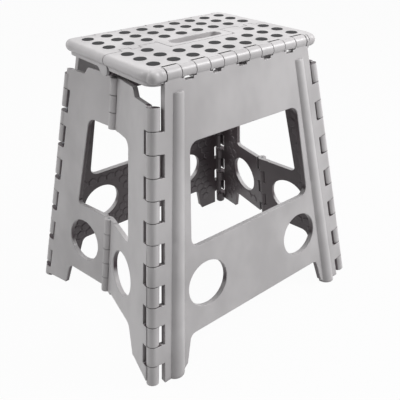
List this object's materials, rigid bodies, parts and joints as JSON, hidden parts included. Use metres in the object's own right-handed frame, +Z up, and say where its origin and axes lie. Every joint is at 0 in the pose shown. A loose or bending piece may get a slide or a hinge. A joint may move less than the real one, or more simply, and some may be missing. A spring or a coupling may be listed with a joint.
{
  "type": "folding step stool",
  "caption": "Folding plastic step stool with a two-part dotted tread, hinged front and back panels and folding end panels.",
  "frame": {"origin": "middle of the stool's footprint, on the floor", "axes": "+X along the stool's long side, -Y out of the front panel, +Z up"},
  "size_m": [0.3908, 0.3224, 0.3905],
  "materials": {
    "panel_plastic": "light grey fine-grained polypropylene",
    "tread_plastic": "light grey fine-grained polypropylene",
    "grip_rubber": "dark grey soft grip rubber",
    "steel": "plain drawn steel wire"
  },
  "bodies": {
    "front_panel": {"front_panel": "panel_plastic", "front_tread_rod": "steel", "left_front_corner_rod": "steel", "right_front_corner_rod": "steel"},
    "front_tread": {"front_tread": "tread_plastic", "front_tread_dots": "grip_rubber", "end_fold_pins": "steel", "inner_fold_pins": "steel"},
    "back_tread": {"back_tread": "tread_plastic", "back_tread_dots": "grip_rubber"},
    "back_panel": {"back_panel": "panel_plastic", "back_tread_rod": "steel"},
    "left_front_gusset": {"left_front_gusset": "panel_plastic", "left_lower_centre_pin": "steel", "left_upper_centre_pin": "steel"},
    "right_front_gusset": {"right_front_gusset": "panel_plastic", "right_lower_centre_pin": "steel", "right_upper_centre_pin": "steel"},
    "left_back_gusset": {"left_back_gusset": "panel_plastic", "left_back_corner_rod": "steel"},
    "right_back_gusset": {"right_back_gusset": "panel_plastic", "right_back_corner_rod": "steel"}
  },
  "joints": [
    {"name": "front_tread_hinge", "type": "hinge", "parent": "front_panel", "child": "front_tread", "pos_m": [0, -0.094, 0.3815], "axis": [1, 0, 0], "range_deg": [0, 82.67]},
    {"name": "tread_fold", "type": "hinge", "parent": "front_tread", "child": "back_tread", "pos_m": [0, 0, 0.367], "axis": [1, 0, 0], "range_deg": [-179.36, 0]},
    {"name": "back_tread_hinge", "type": "hinge", "parent": "back_tread", "child": "back_panel", "pos_m": [0, 0.094, 0.3815], "axis": [1, 0, 0], "range_deg": [0, 82.67]},
    {"name": "left_corner_hinge", "type": "hinge", "parent": "front_panel", "child": "left_front_gusset", "pos_m": [-0.187, -0.147, 0], "axis": [0.153, 0.1405, 0.9782], "range_deg": [-76.75, 0]},
    {"name": "left_centre_hinge", "type": "hinge", "parent": "left_front_gusset", "child": "left_back_gusset", "pos_m": [-0.171, 0, 0], "axis": [0.1394, 0, 0.9902], "range_deg": [0, 151.3]},
    {"name": "right_corner_hinge", "type": "hinge", "parent": "front_panel", "child": "right_front_gusset", "pos_m": [0.187, -0.147, 0], "axis": [-0.153, 0.1405, 0.9782], "range_deg": [0, 76.75]},
    {"name": "right_centre_hinge", "type": "hinge", "parent": "right_front_gusset", "child": "right_back_gusset", "pos_m": [0.171, 0, 0], "axis": [-0.1394, 0, 0.9902], "range_deg": [-151.3, 0]}
  ],
  "couplings": [
    {"joint": "tread_fold", "follows": "front_tread_hinge", "ratio": -2.1693},
    {"joint": "back_tread_hinge", "follows": "front_tread_hinge", "ratio": 1},
    {"joint": "left_corner_hinge", "follows": "front_tread_hinge", "ratio": -0.928},
    {"joint": "left_centre_hinge", "follows": "front_tread_hinge", "ratio": 1.8294},
    {"joint": "right_corner_hinge", "follows": "front_tread_hinge", "ratio": 0.928},
    {"joint": "right_centre_hinge", "follows": "front_tread_hinge", "ratio": -1.8294}
  ]
}
